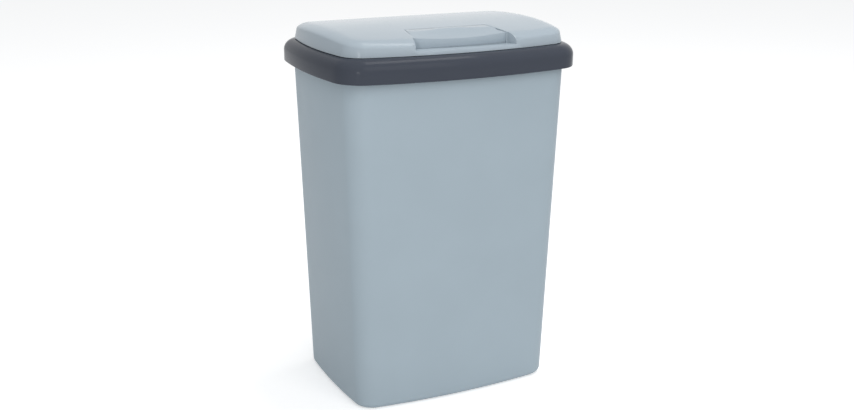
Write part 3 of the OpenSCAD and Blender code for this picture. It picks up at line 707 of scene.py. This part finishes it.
class BIN_OT_lid(bpy.types.Operator):
    """Model the domed lid, with its notch, its knuckles and its posts"""

    bl_idname = "bin.lid"
    bl_label = "Lid"

    def execute(self, context):
        f = Form(context.scene.bin_sizes)
        s, wall, low = f.s, f.s.lid_wall, f.lid_low
        full = loft("full", f.dome(0, 0, low), start="flat", end=(0, 0, f.arch(0)))
        under = f.dome(wall, wall, low - MM)
        core = loft("core", under, start="flat", end=(0, 0, f.arch(0) - wall))
        piece = twin(full, "lid_shell")
        combine(piece, core, "DIFFERENCE")

        inside = notch_space(f, "inside", wall, low + 0.6 * MM)
        curtain = prism("curtain", f.pad(2 * MM), f.arch(f.pad_back) - 6 * MM, f.lid_top + MM)
        combine(inside, curtain, "UNION")
        flange = f.top + 0.2 * MM
        screws = [(side * f.screw_x, f.pivot[0] + dy) for side in (-1, 1) for dy in f.screw_dy]
        for x, y in screws:
            boss = post("boss", x, y, flange + 2 * MM, f.lid_top + MM, 2.8 * MM)
            combine(inside, boss, "UNION")
        buffer_x = s.collar_w / 2 - 50 * MM
        buffer_y = -f.edge_y((s.lid_inset + wall + f.lean + s.rim_w) / 2, buffer_x)
        for side in (-1, 1):
            x = side * buffer_x
            stud = post("stud", x, buffer_y, f.top + 1.8 * MM, f.lid_top + MM, 3 * MM)
            combine(inside, stud, "UNION")
        combine(inside, full, "INTERSECT")
        combine(piece, inside, "UNION")

        y, z = f.hinge
        half = 3.4 * MM
        for side in (-1, 1):
            x = side * f.knuckle_x
            combine(piece, rod("knuckle", x, 2 * half, 3.4 * MM, y, z), "UNION")
            web = block(
                "web",
                (x - half, f.edge_y(s.lid_inset, abs(x)) - wall - 0.6 * MM, z - 2 * MM),
                (x + half, y, z + 2 * MM),
            )
            combine(piece, web, "UNION")
        combine(piece, notch_space(f, "notch", 0, f.ledge), "DIFFERENCE")
        opening = prism("opening", f.pad(0.4 * MM), low - MM, f.lid_top + 2 * MM)
        combine(piece, opening, "DIFFERENCE")
        for side in (-1, 1):
            bore = rod("bore", side * f.knuckle_x, 7.8 * MM, 1.55 * MM, y, z)
            combine(piece, bore, "DIFFERENCE")
        for x, y in screws:
            hole = post("hole", x, y, flange, flange + 7 * MM, 1.2 * MM, sides=24)
            combine(piece, hole, "DIFFERENCE")
        soften(piece, s.edge)
        settle(piece, material("lid_plastic"), "cover", "lid")
        return {"FINISHED"}


class BIN_OT_push_pad(bpy.types.Operator):
    """Model the dished push pad"""

    bl_idname = "bin.push_pad"
    bl_label = "Push pad"

    def execute(self, context):
        f = Form(context.scene.bin_sizes)
        foot = f.ledge - 0.6 * MM
        piece = loft("pad_shell", f.dome(0, 0, f.lid_low), start="flat", end=(0, 0, f.arch(0)))
        combine(piece, prism("plan", f.pad(0), foot, f.lid_top + MM), "INTERSECT")

        floor, sky = f.pad_floor, f.lid_top + MM
        r = f.pad_x ** 2 / (2 * f.sag)
        climb = (f.foot_z - floor) / (f.foot_y - f.face)
        columns = [f.notch_x * i / 24 for i in range(-24, 25)]

        def across(y):
            """The outline of the air over the dish's sagging floor, at a distance along the bin."""
            rise = (y - f.face) * climb
            line = [(x, y, floor + rise + r - math.sqrt(r * r - x * x)) for x in columns]
            return line + [(f.notch_x, y, sky + MM), (-f.notch_x, y, sky + MM)]

        ends = [across(-f.s.collar_d / 2 - MM), across(f.dish_y + 5 * MM)]
        air = loft("air", ends, start="flat", end="flat")
        wall = loft("wall", [f.dish(floor - f.pad_wall), f.dish(sky)], start="flat", end="flat")
        combine(air, wall, "INTERSECT")
        combine(piece, air, "DIFFERENCE")
        combine(piece, notch_space(f, "notch", 0, f.lid_low - 2 * MM), "DIFFERENCE")

        room = prism("room", f.pad(-f.pad_side), f.top - MM, floor - f.pad_wall)
        face = notch_space(f, "face", 0, f.lid_low - 2 * MM)
        face.data.transform(Matrix.Translation((0, f.pad_wall * 1.4, 0)))
        combine(room, face, "DIFFERENCE")
        combine(piece, room, "DIFFERENCE")

        y, z = f.pivot
        half, reach = 1.2 * MM, 3.2 * MM
        for way in (-1, 1):
            x = way * (f.pad_end_x - 1.6 * MM)
            combine(piece, rod("cheek", x, 2 * half, reach, y, z), "UNION")
            web = block(
                "web", (x - half, y - reach, z), (x + half, y + reach, floor - 1.7 * MM)
            )
            combine(piece, web, "UNION")
        low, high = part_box("latch_hook")
        middle = (low.y + high.y) / 2
        for way in (-1, 1):
            boss = post("boss", way * 12 * MM, middle, high.z, floor - 0.5 * MM, 2.8 * MM)
            combine(piece, boss, "UNION")
        combine(piece, rod("bore", 0, 2 * f.notch_x, 1.25 * MM, y, z), "DIFFERENCE")
        soften(piece, f.s.edge)
        settle(piece, material("lid_plastic"), "pad", "push_pad")
        return {"FINISHED"}


class BIN_OT_fittings(bpy.types.Operator):
    """Finish the pins, springs, screws, buffers and the parts of the catch"""

    bl_idname = "bin.fittings"
    bl_label = "Fittings"

    def execute(self, context):
        finishes = {
            "pin_steel": ("hinge_pin_left", "hinge_pin_right", "pad_pin"),
            "spring_steel": (
                "lid_spring_left",
                "lid_spring_right",
                "pad_spring_left",
                "pad_spring_right",
            ),
            "screw_steel": ("keeper_screws", "hook_screws", "carrier_screws"),
            "buffer_rubber": ("lid_buffer_left", "lid_buffer_right"),
            "latch_plastic": ("latch_keeper", "latch_carrier"),
            "hook_plastic": ("latch_hook",),
        }
        for name, nodes in finishes.items():
            for node in nodes:
                dress(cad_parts[node], material(name))
        return {"FINISHED"}


class BIN_OT_stage(bpy.types.Operator):
    """Set up the floor, the lamps and the camera"""

    bl_idname = "bin.stage"
    bl_label = "Stage"

    def execute(self, context):
        scene = context.scene
        self.floor()
        self.world(scene)
        self.lamp("key", (0.1, -1.7, 1.3), 1.3, 11)
        self.lamp("top", (0.5, 0.0, 2.05), 0.8, 14.5)
        self.lamp("strip", (-1.0, -1.25, 0.35), 0.3, 3.5)
        self.camera(scene)
        scene.view_settings.view_transform = "Standard"
        return {"FINISHED"}

    def floor(self):
        alone()
        bpy.ops.mesh.primitive_plane_add(size=30, location=(0, 0, 0))
        plane = set_down("floor")
        g = Graph(bpy.data.materials.new("pale_floor"))
        speck = g.noise(900, 2, 0.5)
        tone = g.blend(speck, (0.88, 0.88, 0.88, 1), (0.9, 0.9, 0.9, 1))
        lit = g.node("ShaderNodeBsdfDiffuse", {}, {"Color": tone})
        sockets = {"Color": (1, 1, 1, 1), "Strength": g.seen() * 0.45}
        glow = g.node("ShaderNodeEmission", {}, sockets)
        dress(plane, g.finish(g.node("ShaderNodeAddShader", {}, {0: lit, 1: glow})))

    def world(self, scene):
        scene.world = bpy.data.worlds.new("studio")
        g = Graph(scene.world)
        soft = {"Color": (0.97, 0.985, 1.0, 1), "Strength": 0.5}
        white = {"Color": (1, 1, 1, 1), "Strength": 1.0}
        soft, white = (g.node("ShaderNodeBackground", {}, sockets) for sockets in (soft, white))
        both = g.node("ShaderNodeMixShader", {}, {0: g.seen(), 1: soft, 2: white})
        g.finish(both, "ShaderNodeOutputWorld")

    def lamp(self, name, where, size, power):
        data = bpy.data.lights.new(name, "AREA")
        data.shape, data.size, data.energy = "SQUARE", size, power
        lamp = bpy.data.objects.new(name, data)
        bpy.context.scene.collection.objects.link(lamp)
        lamp.location = where
        aim = Vector((0, 0, 0.2)) - Vector(where)
        lamp.rotation_euler = aim.to_track_quat("-Z", "Y").to_euler()

    def camera(self, scene):
        """The camera of the photograph, as solved from the outlines of the bin."""
        data = bpy.data.cameras.new("camera")
        camera = bpy.data.objects.new("camera", data)
        scene.collection.objects.link(camera)
        azimuth, height, roll = (math.radians(a) for a in (-26.4765, 16.9086, 0.3508))
        back = Vector(
            (
                math.sin(azimuth) * math.cos(height),
                -math.cos(azimuth) * math.cos(height),
                math.sin(height),
            )
        )
        camera.location = Vector((0.53, 0, 165.2)) * MM + back * 1096.3 * MM
        aim = (-back).to_track_quat("-Z", "Y").to_matrix().to_4x4()
        camera.rotation_euler = (aim @ Matrix.Rotation(roll, 4, "Z")).to_euler()
        data.sensor_width, data.lens = 36, 48.893
        data.clip_start, data.clip_end = 0.01, 60
        scene.camera = camera


class BIN_PT_panel(bpy.types.Panel):
    """The bin's pieces, sizes and colours"""

    bl_label = "Push top bin"
    bl_space_type = "VIEW_3D"
    bl_region_type = "UI"
    bl_category = "Bin"

    def draw(self, context):
        for operator in PIECES + (BIN_OT_stage,):
            self.layout.operator(operator.bl_idname)
        for group in (context.scene.bin_sizes, context.scene.bin_colours):
            column = self.layout.column()
            for name in group.bl_rna.properties.keys():
                if name not in ("rna_type", "name"):
                    column.prop(group, name)


PIECES = (BIN_OT_body, BIN_OT_collar, BIN_OT_lid, BIN_OT_push_pad, BIN_OT_fittings)
CLASSES = (BinSizes, BinColours) + PIECES + (BIN_OT_stage, BIN_PT_panel)


def register():
    for cls in CLASSES:
        bpy.utils.register_class(cls)
    bpy.types.Scene.bin_sizes = PointerProperty(type=BinSizes)
    bpy.types.Scene.bin_colours = PointerProperty(type=BinColours)


def unregister():
    del bpy.types.Scene.bin_colours
    del bpy.types.Scene.bin_sizes
    for cls in reversed(CLASSES):
        bpy.utils.unregister_class(cls)


def main():
    register()
    bpy.ops.bin.body()
    bpy.ops.bin.collar()
    bpy.ops.bin.lid()
    bpy.ops.bin.push_pad()
    bpy.ops.bin.fittings()
    bpy.ops.bin.stage()
    alone()


if __name__ == "__main__":
    main()
